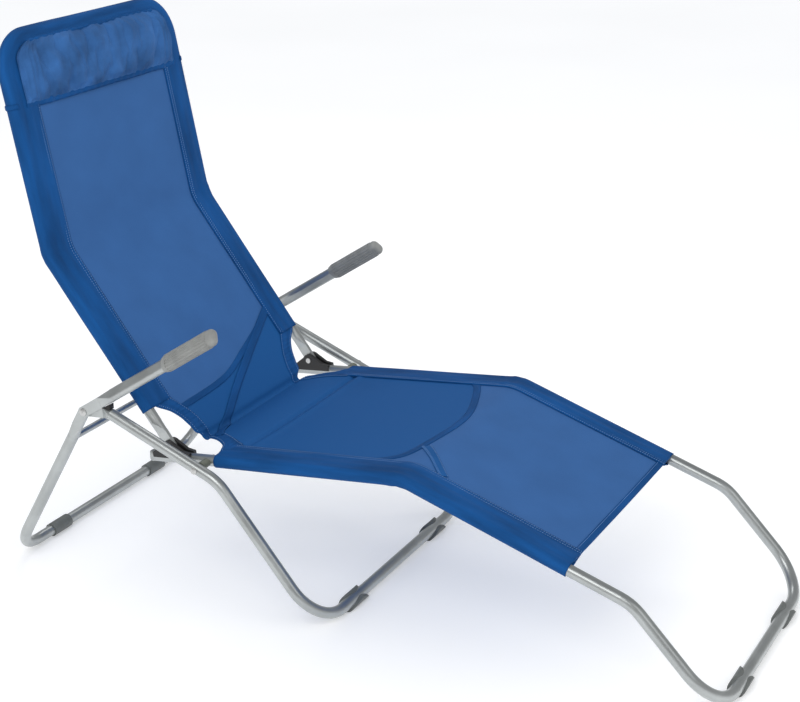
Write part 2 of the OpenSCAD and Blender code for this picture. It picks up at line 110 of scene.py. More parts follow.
BACK_DIR = along(LUMBAR_SLOPE)
UPPER_DIR = along(UPPER_SLOPE)
SEAT_DIR = along(SEAT_SLOPE, -1)
SHIN_DIR = along(-SHIN_SLOPE, -1)
SEAT_X = (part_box("back_tube")[1].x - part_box("back_tube")[0].x) / 2 - TUBE_R
BACK_BEND = BACK_PIVOT + LUMBAR_LEN * BACK_DIR
BACK_TOP = BACK_BEND + UPPER_LEN * UPPER_DIR
KNEE = SEAT_PIVOT + SEAT_LEN * SEAT_DIR
FOOT_END = KNEE + SHIN_SLEEVE_END * SHIN_DIR


def sitter_side(direction):
    """Normal of a stretch that runs up the back, on the sitter's side."""
    return Vector((0, -direction.z, direction.y))


# ---- Materials ----

def sockets(material):
    """The nodes, links and main shader of a new material."""
    material.use_nodes = True
    tree = material.node_tree
    return tree.nodes, tree.links, tree.nodes["Principled BSDF"]


def ramp(nodes, stops):
    node = nodes.new("ShaderNodeValToRGB")
    elements = node.color_ramp.elements
    while len(elements) < len(stops):
        elements.new(0.5)
    for element, (at, colour) in zip(elements, stops):
        element.position = at
        element.color = (*colour, 1)
    return node


def bumped(nodes, links, shader, height, strength, distance):
    bump = nodes.new("ShaderNodeBump")
    bump.inputs["Strength"].default_value = strength
    bump.inputs["Distance"].default_value = distance
    links.new(height, bump.inputs["Height"])
    links.new(bump.outputs["Normal"], shader.inputs["Normal"])


def noise_node(nodes, links, coordinates, scale, detail=3.0):
    node = nodes.new("ShaderNodeTexNoise")
    node.inputs["Scale"].default_value = scale
    node.inputs["Detail"].default_value = detail
    links.new(coordinates, node.inputs["Vector"])
    return node


def mixed(nodes, links, factor, first, second, kind="MIX"):
    node = nodes.new("ShaderNodeMix")
    node.data_type = "RGBA"
    node.blend_type = kind
    for socket, value in ((0, factor), (6, first), (7, second)):
        if isinstance(value, (float, int)):
            node.inputs[socket].default_value = value
        elif isinstance(value, tuple):
            node.inputs[socket].default_value = (*value, 1)
        else:
            links.new(value, node.inputs[socket])
    return node.outputs[2]


def scaled(colour, share):
    return tuple(share * c for c in colour)


def cloth_material(name, colour, mottle, stretch=1.0, shade_colour=None):
    """Coated mesh weave: crossed yarns from the cloth's own UV map, in metres, and slow mottling."""
    material = bpy.data.materials.new(name)
    nodes, links, shader = sockets(material)
    uv = nodes.new("ShaderNodeUVMap")
    uv.uv_map = "cloth"
    waves = []
    for direction in ("X", "Y"):
        wave = nodes.new("ShaderNodeTexWave")
        wave.bands_direction = direction
        wave.inputs["Scale"].default_value = 2 * math.pi / (20 * YARN_PITCH)
        links.new(uv.outputs["UV"], wave.inputs["Vector"])
        waves.append(wave.outputs["Fac"])
    weave = nodes.new("ShaderNodeMath")
    weave.operation = "MULTIPLY"
    for socket, wave in enumerate(waves):
        links.new(wave, weave.inputs[socket])
    drawn_out = nodes.new("ShaderNodeMapping")
    drawn_out.inputs["Scale"].default_value = (stretch, 1, 1)
    links.new(uv.outputs["UV"], drawn_out.inputs["Vector"])
    slow = noise_node(nodes, links, drawn_out.outputs["Vector"], 30 if stretch < 1 else 14, 4)
    tone = ramp(nodes, [(0.3, scaled(colour, 1 - mottle)), (0.7, scaled(colour, 1 + mottle))])
    links.new(slow.outputs["Fac"], tone.inputs["Fac"])
    base = tone.outputs["Color"]
    # Where the panel's mask is set, its colour is mixed to a darker blue: painted shade
    if shade_colour:
        shaded_blue = nodes.new("ShaderNodeAttribute")
        shaded_blue.attribute_name = "shaded_blue"
        base = mixed(nodes, links, shaded_blue.outputs["Fac"], base, shade_colour)
    yarn = mixed(nodes, links, weave.outputs[0], base, (1.2, 1.18, 1.15), "MULTIPLY")
    links.new(yarn, shader.inputs["Base Color"])
    shader.inputs["Roughness"].default_value = 0.7
    shader.inputs["Specular IOR Level"].default_value = 0.1
    bumped(nodes, links, shader, weave.outputs[0], 0.25, 0.0003)
    return material


def thread_material(colour):
    material = bpy.data.materials.new("sewing_thread")
    nodes, links, shader = sockets(material)
    place = nodes.new("ShaderNodeTexCoord")
    fibre = noise_node(nodes, links, place.outputs["Object"], 1500)
    tone = ramp(nodes, [(0.3, scaled(colour, 0.8)), (0.7, scaled(colour, 1.2))])
    links.new(fibre.outputs["Fac"], tone.inputs["Fac"])
    links.new(tone.outputs["Color"], shader.inputs["Base Color"])
    shader.inputs["Roughness"].default_value = 0.6
    return material


def metal_material(name, colour, roughness, grain_scale=260):
    """Drawn tube with a fine grain, faint handling marks and slightly uneven gloss."""
    material = bpy.data.materials.new(name)
    nodes, links, shader = sockets(material)
    place = nodes.new("ShaderNodeTexCoord")
    grain = noise_node(nodes, links, place.outputs["Object"], grain_scale, 2)
    cloud = noise_node(nodes, links, place.outputs["Object"], 22, 3)
    tone = ramp(nodes, [(0.25, scaled(colour, 0.86)), (0.75, scaled(colour, 1.1))])
    links.new(cloud.outputs["Fac"], tone.inputs["Fac"])
    links.new(tone.outputs["Color"], shader.inputs["Base Color"])
    gloss = nodes.new("ShaderNodeMapRange")
    gloss.inputs["To Min"].default_value = roughness - 0.05
    gloss.inputs["To Max"].default_value = roughness + 0.07
    links.new(cloud.outputs["Fac"], gloss.inputs["Value"])
    links.new(gloss.outputs["Result"], shader.inputs["Roughness"])
    shader.inputs["Metallic"].default_value = 0.85
    bumped(nodes, links, shader, grain.outputs["Fac"], 0.015, 0.0001)
    return material


def plastic_material(name, colour, roughness, texture=900):
    """Moulded plastic with a fine spark texture and scuffed, paler patches."""
    material = bpy.data.materials.new(name)
    nodes, links, shader = sockets(material)
    place = nodes.new("ShaderNodeTexCoord")
    spark = noise_node(nodes, links, place.outputs["Object"], texture, 2)
    scuff = noise_node(nodes, links, place.outputs["Object"], 60, 5)
    tone = ramp(nodes, [(0.35, scaled(colour, 0.88)), (0.72, scaled(colour, 1.15))])
    links.new(scuff.outputs["Fac"], tone.inputs["Fac"])
    links.new(tone.outputs["Color"], shader.inputs["Base Color"])
    gloss = nodes.new("ShaderNodeMapRange")
    gloss.inputs["To Min"].default_value = roughness - 0.08
    gloss.inputs["To Max"].default_value = roughness + 0.12
    links.new(scuff.outputs["Fac"], gloss.inputs["Value"])
    links.new(gloss.outputs["Result"], shader.inputs["Roughness"])
    bumped(nodes, links, shader, spark.outputs["Fac"], 0.25, 0.0002)
    return material


YARN_PITCH = 0.0014
SINGLE = (0.034, 0.112, 0.300)
# The second blue is the panel's colour in painted shade, used between the two arcs and on the knee strap
SHADED_BLUE = (0.009, 0.082, 0.262)
DOUBLE = (0.005, 0.062, 0.212)
materials = {
    "cloth": cloth_material("sling_mesh", SINGLE, mottle=0.05, shade_colour=SHADED_BLUE),
    "hem": cloth_material("sling_doubled", DOUBLE, mottle=0.25, stretch=0.25),
    "shaded_blue": cloth_material("sling_strap", SHADED_BLUE, mottle=0.15),
    "pillow": cloth_material("pillow_mesh", (0.029, 0.102, 0.275), mottle=0.38),
    "thread": thread_material((0.14, 0.27, 0.52)),
    "tube": metal_material("silver_tube", (0.45, 0.47, 0.465), 0.33),
    "rivet": metal_material("rivet_steel", (0.55, 0.55, 0.54), 0.3, 500),
    "grip": plastic_material("grip_grey", (0.24, 0.245, 0.235), 0.5),
    "foot": plastic_material("foot_grey", (0.125, 0.135, 0.13), 0.5),
    "hinge": plastic_material("hinge_black", (0.012, 0.012, 0.012), 0.4),
    "bumper": plastic_material("bumper_black", (0.010, 0.010, 0.010), 0.65),
    "spacer": plastic_material("spacer_olive", (0.13, 0.14, 0.11), 0.5),
}

NODE_LOOKS = {
    "tube": ("front_leg_tube", "rear_leg_tube", "cross_rod", "seat_tube", "back_tube"),
    "rivet": ("leg_rivets", "seat_rivets", "hinge_pins"),
    "grip": ("grip_left", "grip_right", "grip_cap_left", "grip_cap_right"),
    "foot": ("front_foot_left", "front_foot_right", "rear_foot_left", "rear_foot_right",
             "toe_foot_left", "toe_foot_right"),
    "hinge": ("hinge_block_left", "hinge_block_right"),
    "bumper": ("arm_bumper_left", "arm_bumper_right"),
    "spacer": ("seat_spacers",),
}


def dress_cad_nodes():
    for look, names in NODE_LOOKS.items():
        for name in names:
            mesh = frame["nodes"][name].data
            mesh.materials.clear()
            mesh.materials.append(materials[look])


# ---- Mesh helpers ----

def grid_piece(name, rows, uvs, material, thickness=CLOTH_T):
    """A sheet of cloth from rows of points, with its UVs in metres."""
    count = len(rows[0])
    verts = [point for row in rows for point in row]
    coords = [uv for row in uvs for uv in row]
    faces = []
    for i in range(len(rows) - 1):
        for k in range(count - 1):
            a = i * count + k
            faces.append((a, a + 1, a + count + 1, a + count))
    mesh = bpy.data.meshes.new(name)
    mesh.from_pydata([tuple(v) for v in verts], [], faces)
    layer = mesh.uv_layers.new(name="cloth")
    for loop in mesh.loops:
        layer.data[loop.index].uv = coords[loop.vertex_index]
    mesh.shade_smooth()
    mesh.materials.append(material)
    piece = bpy.data.objects.new(name, mesh)
    bpy.context.scene.collection.objects.link(piece)
    solid = piece.modifiers.new("thickness", "SOLIDIFY")
    solid.thickness = thickness
    solid.offset = 0
    return piece


def lerp(a, b, t):
    return a + (b - a) * t


def smooth(t):
    t = min(1.0, max(0.0, t))
    return t * t * (3 - 2 * t)


def hump(distance, width):
    """1 at distance 0, falling smoothly to 0 beyond about twice the width."""
    return math.exp(-(distance / width) ** 2)


def wrinkle(u, v, seed=0.0):
    return noise.noise(Vector((u, v, seed)))


def rounded(corners, radii, step):
    """Points along a polyline whose inner corners are arcs of the given radii."""
    points = [corners[0].copy()]
    for i in range(1, len(corners) - 1):
        into = (corners[i] - corners[i - 1]).normalized()
        out = (corners[i + 1] - corners[i]).normalized()
        angle = into.angle(out)
        cut = radii[i - 1] * math.tan(angle / 2)
        axis = into.cross(out).normalized()
        start = corners[i] - cut * into
        centre = start + radii[i - 1] * axis.cross(into)
        turns = max(4, math.ceil(radii[i - 1] * angle / step))
        for k in range(turns + 1):
            points.append(centre + Matrix.Rotation(angle * k / turns, 3, axis) @ (start - centre))
    points.append(corners[-1].copy())
    return respaced(points, step)


def respaced(points, step):
    """The same line with its points about a step apart."""
    reach = [0.0]
    for a, b in zip(points, points[1:]):
        reach.append(reach[-1] + (b - a).length)
    count = max(2, round(reach[-1] / step) + 1)
    at = np.linspace(0, reach[-1], count)
    columns = [np.interp(at, reach, [p[axis] for p in points]) for axis in range(3)]
    return [Vector(p) for p in zip(*columns)]


def spline(points, count=40):
    """A smooth curve through a few (a, b) pairs."""
    ends = [2 * Vector(points[0]) - Vector(points[1]), *map(Vector, points),
            2 * Vector(points[-1]) - Vector(points[-2])]
    found = []
    for i in range(1, len(ends) - 2):
        p, q, r, s = ends[i - 1:i + 3]
        for k in range(count):
            t = k / count
            found.append(0.5 * (2 * q + (r - p) * t + (2 * p - 5 * q + 4 * r - s) * t * t
                                + (3 * q - p - 3 * r + s) * t ** 3))
    return [tuple(v) for v in found] + [tuple(points[-1])]


def tangents(points):
    ends = [points[0], *points, points[-1]]
    return [(ends[i + 2] - ends[i]).normalized() for i in range(len(points))]


# ---- The sling's own surface ----

class Profile:
    """Side view of the sling from the top bar (s = 0) to the foot end, at PANEL_LIFT above the tubes."""

    def __init__(self):
        upper = sitter_side(UPPER_DIR)
        back = sitter_side(BACK_DIR)
        seat = sitter_side(-SEAT_DIR)
        shin = sitter_side(-SHIN_DIR)
        over_back = BACK_PIVOT + PANEL_LIFT * back
        over_seat = SEAT_PIVOT + PANEL_LIFT * seat
        top = BACK_TOP + PANEL_LIFT * upper
        bend = self.meet(BACK_BEND + PANEL_LIFT * upper, UPPER_DIR, over_back, BACK_DIR)
        crease = self.meet(over_back, BACK_DIR, over_seat, SEAT_DIR)
        knee = self.meet(over_seat, SEAT_DIR, KNEE + PANEL_LIFT * shin, SHIN_DIR)
        foot = FOOT_END + PANEL_LIFT * shin
        radii = [SIDE_BEND_R - PANEL_LIFT, CREASE_R, SIDE_BEND_R + PANEL_LIFT]
        self.points = rounded([top, bend, crease, knee, foot], radii, 0.001)
        steps = [(b - a).length for a, b in zip(self.points, self.points[1:])]
        self.reach = np.concatenate([[0], np.cumsum(steps)])
        self.normals = [sitter_side(-t) for t in tangents(self.points)]
        self.length = float(self.reach[-1])
        self.s_crease = self.nearest(crease)
        self.s_knee = self.nearest(knee)
        self.crease_t = (crease - BACK_PIVOT).dot(BACK_DIR)
        self.crease_u = (crease - SEAT_PIVOT).dot(-SEAT_DIR)

    @staticmethod
    def meet(a, u, b, v):
        """Where two lines of the side view cross."""
        normal = Vector((0, -v.z, v.y))
        return a + u * ((b - a).dot(normal) / u.dot(normal))

    def nearest(self, point):
        gaps = [(point - p).length for p in self.points]
        return float(self.reach[gaps.index(min(gaps))])

    def from_back(self, t):
        """Station of a point t up the back tube from the back hinge."""
        return self.s_crease - (t - self.crease_t)

    def from_seat(self, u):
        """Station of a point u behind the seat pivot, along the seat tube."""
        return self.s_crease + (self.crease_u - u)

    def at(self, s):
        s = min(max(s, 0.0), self.length)
        i = min(max(int(np.searchsorted(self.reach, s)), 1), len(self.points) - 1)
        share = (s - self.reach[i - 1]) / (self.reach[i] - self.reach[i - 1])
        return (self.points[i - 1].lerp(self.points[i], share),
                self.normals[i - 1].lerp(self.normals[i], share).normalized())


profile = Profile()
EDGE_X = SEAT_X - EDGE_INSET
NOTCH_BACK = profile.from_back(BACK_SLEEVE_START - 0.002)
NOTCH_SEAT = profile.from_seat(-SEAT_SLEEVE_START)
CREASE_BACK = profile.s_crease
CREASE_SEAT = profile.from_seat(-0.043)
# Half the sling's width beside the hinge, where two scallops are cut out
NOTCH_EDGE = spline([(NOTCH_BACK, EDGE_X), (profile.from_back(0.064), 0.222),
                     (profile.from_back(0.050), 0.203), (profile.from_back(0.032), 0.189),
                     (profile.from_back(0.012), 0.181), (profile.from_back(-0.003), 0.177),
                     (profile.from_back(-0.010), 0.168), (CREASE_BACK, 0.162),
                     (profile.from_seat(0.044), 0.168), (profile.from_seat(0.019), 0.183),
                     (profile.from_seat(-0.002), 0.201), (profile.from_seat(-0.011), 0.221),
                     (NOTCH_SEAT, EDGE_X)], 10)
HEM_BACK_X = SEAT_X - HEM_SIDE
HEM_SEAT_X = SEAT_X - HEM_SEAT


def half_width(s):
    """Half the width of the sling: round at the top corners, with two scallops cut out beside the hinge."""
    if s < TOP_BEND_R:
        rise = TOP_BEND_R - s
        return min(EDGE_X, SEAT_X - TOP_BEND_R + math.sqrt(max(0.0, (TOP_BEND_R - 0.004) ** 2 - rise ** 2)))
    if s <= NOTCH_BACK or s >= NOTCH_SEAT:
        return EDGE_X
    return float(np.interp(s, [point[0] for point in NOTCH_EDGE], [point[1] for point in NOTCH_EDGE]))


def relief(s, x):
    """Height of the taut cloth over its profile: a shallow hollow, creases at the hinge and fine pulls."""
    across = 1 - min(1.0, abs(x) / EDGE_X) ** 2
    sag = -0.0035 * across
    fold = -0.0050 * hump(s - CREASE_BACK - 0.10 * (x / 2) ** 2, 0.007)
    fold += -0.0032 * hump(s - CREASE_SEAT - 0.012 * x, 0.0055)
    fold += 0.0016 * hump(s - CREASE_SEAT - 0.012 * x - 0.013, 0.008)
    between = (s - CREASE_BACK) / (CREASE_SEAT - CREASE_BACK)
    if 0 < between < 1:
        fold += 0.0075 * math.sin(math.pi * between) * across ** 0.5
    pull = 0.0007 * wrinkle(x * 9, s * 3, 2.0)
    near_notch = hump(s - CREASE_BACK, 0.075) * smooth((abs(x) - 0.10) / 0.08)
    pull += 0.0012 * near_notch * wrinkle(x * 60 + s * 20, s * 30, 5.0)
    return sag + fold * smooth((0.235 - abs(x)) / 0.02) + pull


def cloth(s, x, lift=0.0):
    """A point of the sling at station s and distance x from the middle, lifted off the surface."""
    point, normal = profile.at(s)
    return Vector((x, point.y, point.z)) + (relief(s, x) + lift) * normal


def stations(start, end, coarse, fine_zones=(), fine=0.002):
    """Stations from start to end, closer together inside the fine zones."""
    found, s = [], start
    while s < end - 1e-6:
        found.append(s)
        s += fine if any(a <= s <= b for a, b in fine_zones) else coarse
    return found + [end]


# Lines of the sewn bands as (station, x); between the two arcs the panel's blue is darkened as painted
# shade
BACK_ARC = spline([(profile.from_back(t), x) for t, x in
                   ((0.046, -0.190), (0.053, -0.031), (0.079, 0.063), (0.112, 0.158), (0.129, 0.192))])
SEAT_ARC = spline([(profile.from_seat(-u), x) for u, x in
                   ((0.300, -0.192), (0.334, -0.158), (0.349, -0.084), (0.357, 0.004),
                    (0.348, 0.072), (0.315, 0.167), (0.298, 0.194))], 16)
KNEE_STRAP = [(profile.from_seat(-0.352), -0.114), (profile.s_knee + 0.050, -0.187)]
HINGE_STRAP = spline([(profile.from_back(0.127), 0.190), (profile.from_back(0.112), 0.158),
                      (profile.from_back(0.035), 0.002), (profile.from_back(-0.015), -0.089),
                      (profile.from_seat(0.045), -0.137), (profile.from_seat(0.030), -0.160)])


def arc_station(arc, x):
    return float(np.interp(x, [point[1] for point in arc], [point[0] for point in arc]))


def sling_panel():
    zones = [(NOTCH_BACK - 0.01, NOTCH_SEAT + 0.01), (CREASE_SEAT - 0.02, CREASE_SEAT + 0.02)]
    rows, uvs = [], []
    columns = 72
    for s in stations(0.006, profile.length, 0.007, zones):
        half = half_width(s)
        xs = [half * (2 * k / columns - 1) for k in range(columns + 1)]
        rows.append([cloth(s, x) for x in xs])
        uvs.append([(x, s) for x in xs])
    panel = grid_piece("sling_panel", rows, uvs, materials["cloth"])
    # Mask of painted shade: the panel is darkened between the back arc and the seat arc
    shaded_blue = panel.data.attributes.new("shaded_blue", "FLOAT", "POINT")
    for value, (x, s) in zip(shaded_blue.data, (uv for row in uvs for uv in row)):
        below_back = smooth((s - arc_station(BACK_ARC, x)) / 0.006 + 0.5)
        value.value = below_back * smooth((arc_station(SEAT_ARC, x) - s) / 0.006 + 0.5)
    return panel


# ---- Sewn sleeves round the tubes ----

def sleeve_section(width):
    """Section of a tube sleeve as (inwards, up) pairs: from the seam, round the tube and back to it."""
    seam = Vector((width, SLEEVE_R - 0.0022))
    turn = math.atan2(seam.y, seam.x) - math.acos(SLEEVE_R / seam.length)
    section = []
    for k in range(10):
        share = k / 10
        touch = Vector((math.cos(turn), math.sin(turn))) * SLEEVE_R
        slack = -0.0012 * math.sin(math.pi * share)
        section.append(seam.lerp(touch, share) + Vector((0, slack)))
    arc = turn + 1.5 * math.pi
    for k in range(19):
        angle = turn - arc * k / 18
        section.append(Vector((math.cos(angle), math.sin(angle))) * SLEEVE_R)
    for k in range(1, 13):
        share = k / 12
        section.append(Vector((width * share, SLEEVE_R + 0.0009 * math.sin(math.pi * share))))
    section.append(Vector((width, SLEEVE_R - 0.0016)))
    return section


def sleeve(name, points, normals, inwards, widths, tucks, seed):
    """A sleeve swept along a tube. tucks are the stations where the cloth bunches at a bend."""
    rows, uvs = [], []
    reach = 0.0
    for i, point in enumerate(points):
        if i:
            reach += (point - points[i - 1]).length
        bunch = sum(hump(reach - tuck, 0.016) for tuck in tucks)
        row = []
        for k, flat in enumerate(sleeve_section(widths[i])):
            across = k / 42
            long_fold = wrinkle(reach * 7, across * 14, seed)
            cross_fold = wrinkle(reach * 70, across * 5, seed + 3)
            swell = 0.0006 * long_fold + 0.0016 * bunch * cross_fold + 0.0009 * bunch
            on_flat = smooth(flat.x / 0.012) * smooth((widths[i] - flat.x) / 0.008)
            height = flat.y + on_flat * (0.0021 * long_fold + 0.0022 * bunch * cross_fold)
            round_tube = flat.length < SLEEVE_R * 1.02
            scale = 1 + max(0.0, swell) / SLEEVE_R if round_tube else 1
            row.append(point + inwards[i] * flat.x * scale + normals[i] * height * scale)
        rows.append(row)
        uvs.append([(reach, k * 0.004) for k in range(len(row))])
    return grid_piece(name, rows, uvs, materials["hem"])


def back_sleeve():
    """The U-shaped sleeve from one side of the back, over the top bar, to the other."""
    start = BACK_PIVOT + BACK_SLEEVE_START * BACK_DIR
    half = [Vector((-SEAT_X, p.y, p.z)) for p in (start, BACK_BEND, BACK_TOP)]
    half.append(Vector((0, BACK_TOP.y, BACK_TOP.z)))
    left = rounded(half, [SIDE_BEND_R, TOP_BEND_R], 0.004)
    right = [Vector((-p.x, p.y, p.z)) for p in reversed(left[:-1])]
    points = left + right
    upper = sitter_side(UPPER_DIR)
    normals, inwards, widths = [], [], []
    for point, tangent in zip(points, tangents(points)):
        flat = Vector((0, tangent.y, tangent.z))
        on_side = abs(point.x) > SEAT_X - 1e-5
        normal = sitter_side((flat if flat.z > 0 else -flat).normalized()) if on_side else upper
        normals.append(normal)
        inwards.append(tangent.cross(normal).normalized())
        round_corner = smooth((SEAT_X - abs(point.x)) / TOP_BEND_R)
        widths.append(lerp(HEM_SIDE, HEM_TOP, round_corner))
    long = sum((b - a).length for a, b in zip(points, points[1:]))
    bend_at = LUMBAR_LEN - BACK_SLEEVE_START
    piece = sleeve("back_sleeve", points, normals, inwards, widths, (bend_at, long - bend_at), 1.0)
    return piece, points, normals, inwards, widths


def seat_sleeve(side, name):
    """The sleeve on one seat tube, from beside the hinge to the foot end."""
    start = SEAT_PIVOT + SEAT_SLEEVE_START * SEAT_DIR
    corners = [Vector((side * SEAT_X, p.y, p.z)) for p in (start, KNEE, FOOT_END)]
    points = rounded(corners, [SIDE_BEND_R], 0.004)
    normals = [sitter_side(-tangent) for tangent in tangents(points)]
    inwards = [Vector((-side, 0, 0))] * len(points)
    widths = [HEM_SEAT] * len(points)
    tuck = SEAT_LEN - SEAT_SLEEVE_START - 0.012
    piece = sleeve(name, points, normals, inwards, widths, (tuck,), 4.0 + side)
    return piece, points, normals, inwards, widths


# ---- Bands and hems sewn onto the panel ----

def band(name, line, width, lift, material, side=0):
    """A flat strip along a line of (station, x) pairs, lying on the sling, on it or to one side of it."""
    flat = respaced([Vector((s, x, 0)) for s, x in line], 0.0015)
    rows, uvs = [], []
    reach = 0.0
    count = 7
    for i, (point, tangent) in enumerate(zip(flat, tangents(flat))):
        if i:
            reach += (point - flat[i - 1]).length
        off = Vector((-tangent.y, tangent.x, 0))
        row = []
        for k in range(count + 1):
            share = k / count
            at = point + off * width * (share - 0.5 + 0.5 * side)
            edge = 1 - abs(2 * share - 1)
            row.append(cloth(at.x, at.y, lift + 0.0003 * smooth(edge * 3)))
        rows.append(row)
        uvs.append([(reach, width * k / count) for k in range(count + 1)])
    return grid_piece(name, rows, uvs, material, BAND_T)


HEM_FROM = NOTCH_BACK - 0.003
HEM_TO = profile.from_seat(-0.034)


def notch_seam(s):
    """Distance from the middle of the inner edge of the hem beside the hinge."""
    at = (HEM_FROM, profile.from_back(0.036), profile.from_back(0.010), CREASE_BACK,
          profile.from_seat(0.034), profile.from_seat(-0.044))
    return float(np.interp(s, at, (HEM_BACK_X, 0.158, 0.147, 0.143, 0.145, HEM_SEAT_X)))


def notch_hem(side, name):
    """The folded edge round the two scallops, puckered by its stitching."""
    rows, uvs = [], []
    count = 16
    for s in stations(HEM_FROM, HEM_TO, 0.0012):
        inner, outer = notch_seam(s), half_width(s) + 0.0004
        row = []
        for k in range(count + 1):
            share = k / count
            x = lerp(inner, outer, share)
            body = smooth(share * 8) * smooth((1 - share) * 5)
            gather = wrinkle(s * 130, x * 26, 9.0) + 0.5 * math.sin(s * 760 + 5 * wrinkle(s * 25, 0, 3.0))
            slack = wrinkle(s * 30 + x * 20, x * 40, 12.0)
            row.append(cloth(s, side * x, 0.0010 + body * (0.0004 + 0.0007 * gather + 0.0012 * slack)))
        rows.append(row)
        uvs.append([(s, 0.004 * k) for k in range(count + 1)])
    return grid_piece(name, rows, uvs, materials["hem"], BAND_T)


def hem_line(side, share, lift=0.0021):
    """A line of (point, normal) pairs along the hem beside the hinge, between its inner and outer edges."""
    return [(cloth(s, side * lerp(notch_seam(s), half_width(s), share), lift), profile.at(s)[1])
            for s in stations(HEM_FROM, HEM_TO, 0.0010)]


# ---- Stitches ----

def stitches(name, line, spacing=0.0045, length=0.0030, radius=0.00045):
    """A row of short threads along a line of (point, normal) pairs."""
    verts, faces = [], []
    ring = [(math.cos(a), math.sin(a)) for a in (math.pi * k / 3 for k in range(6))]
    wait = 0.0
    for (a, normal), (b, _) in zip(line, line[1:]):
        step = (b - a).length
        if step < 1e-7:
            continue
        forward = (b - a) / step
        sideways = normal.cross(forward).normalized()
        while wait < step:
            centre = a + forward * wait
            base = len(verts)
            verts.append(centre - forward * length / 2 - normal * radius)
            for end in (-0.3, 0.3):
                waist = centre + forward * length * end
                verts.extend(waist + sideways * c * radius + normal * s * radius for c, s in ring)
            verts.append(centre + forward * length / 2 - normal * radius)
            for k in range(6):
                n = (k + 1) % 6
                faces.append((base, base + 1 + n, base + 1 + k))
                faces.append((base + 1 + k, base + 1 + n, base + 7 + n, base + 7 + k))
                faces.append((base + 13, base + 7 + k, base + 7 + n))
            wait += spacing
        wait -= step
    mesh = bpy.data.meshes.new(name)
    mesh.from_pydata([tuple(v) for v in verts], [], faces)
    mesh.shade_smooth()
    mesh.materials.append(materials["thread"])
    piece = bpy.data.objects.new(name, mesh)
    bpy.context.scene.collection.objects.link(piece)
    return piece


def seam_line(points, normals, inwards, widths, inset):
    """The seam of a sleeve: a line on its top layer, inset from the inner edge."""
    return [(p + d * (w - inset) + n * (SLEEVE_R + 0.0009), n)
            for p, n, d, w in zip(points, normals, inwards, widths)]


def band_line(line, offset, lift):
    """A line beside the centre of a band, on the sling's surface."""
    flat = respaced([Vector((s, x, 0)) for s, x in line], 0.003)
    found = []
    for point, tangent in zip(flat, tangents(flat)):
        at = point + Vector((-tangent.y, tangent.x, 0)) * offset
        found.append((cloth(at.x, at.y, lift), profile.at(at.x)[1]))
    return found


# ---- Head pillow ----

PILLOW_LEN = 0.104
PILLOW_TOP = 0.012
PILLOW_HALF = SEAT_X - 0.021
PILLOW_LIFT = 0.0034
PLEAT_PITCH = 0.0105
PUFF_FRAMES = 22
PUFF_CAP = 0.017


def pillow_half(v):
    """Half the pillow's width, v down from its top edge: it keeps inside the frame's rounded corners."""
    rise = max(0.0, TOP_BEND_R - PILLOW_TOP - v)
    inside = TOP_BEND_R - SLEEVE_R - 0.001
    return min(PILLOW_HALF, SEAT_X - TOP_BEND_R + math.sqrt(max(0.0, inside ** 2 - rise ** 2)))


def pillow_point(x, v, up):
    """x across, v down from the pillow's top edge, up off the sling."""
    on_frame = Vector((x, BACK_TOP.y, BACK_TOP.z)) - (PILLOW_TOP + v) * UPPER_DIR
    return on_frame + (PANEL_LIFT + PILLOW_LIFT + up) * sitter_side(UPPER_DIR)


def pillow_shell():
    """A thin closed bag before it is puffed up: two layers welded round the border."""
    columns, rows = 110, 30
    verts, faces = [], []
    for layer in (0, 1):
        for i in range(rows + 1):
            for k in range(columns + 1):
                a, b = k / columns, i / rows
                rim = min(a, 1 - a) * columns / 5, min(b, 1 - b) * rows / 3
                full = smooth(min(1.0, *rim)) if min(rim) > 0 else 0.0
                thick = 0.005 * full if layer else 0.0
                near_side, near_end = (1 - smooth(min(a, 1 - a) / 0.03)), (1 - smooth(min(b, 1 - b) / 0.15))
                corner = 0.006 * near_side * near_end
                x = pillow_half(PILLOW_LEN * b) * (2 * a - 1) * (1 - corner)
                verts.append(pillow_point(x, PILLOW_LEN * b, thick + 0.0004 * layer))
    size = (rows + 1) * (columns + 1)
    for layer in (0, 1):
        for i in range(rows):
            for k in range(columns):
                a = layer * size + i * (columns + 1) + k
                quad = (a, a + 1, a + columns + 2, a + columns + 1)
                faces.append(quad if layer == 0 else quad[::-1])
    rim = [i * (columns + 1) for i in range(rows + 1)]
    rim += [rows * (columns + 1) + k for k in range(1, columns + 1)]
    rim += [i * (columns + 1) + columns for i in range(rows - 1, -1, -1)]
    rim += list(range(columns - 1, 0, -1))
    for a, b in zip(rim, rim[1:] + rim[:1]):
        faces.append((a, b, b + size, a + size))
    border = rim + [a + size for a in rim]
    mesh = bpy.data.meshes.new("head_pillow_cloth")
    mesh.from_pydata([tuple(v) for v in verts], [], faces)
    layer_uv = mesh.uv_layers.new(name="cloth")
    for loop in mesh.loops:
        i = loop.vertex_index % size
        layer_uv.data[loop.index].uv = (0.004 * (i % (columns + 1)), 0.0035 * (i // (columns + 1)))
    mesh.materials.append(materials["pillow"])
    piece = bpy.data.objects.new("head_pillow_cloth", mesh)
    bpy.context.scene.collection.objects.link(piece)
    return piece, border, size, columns, rows


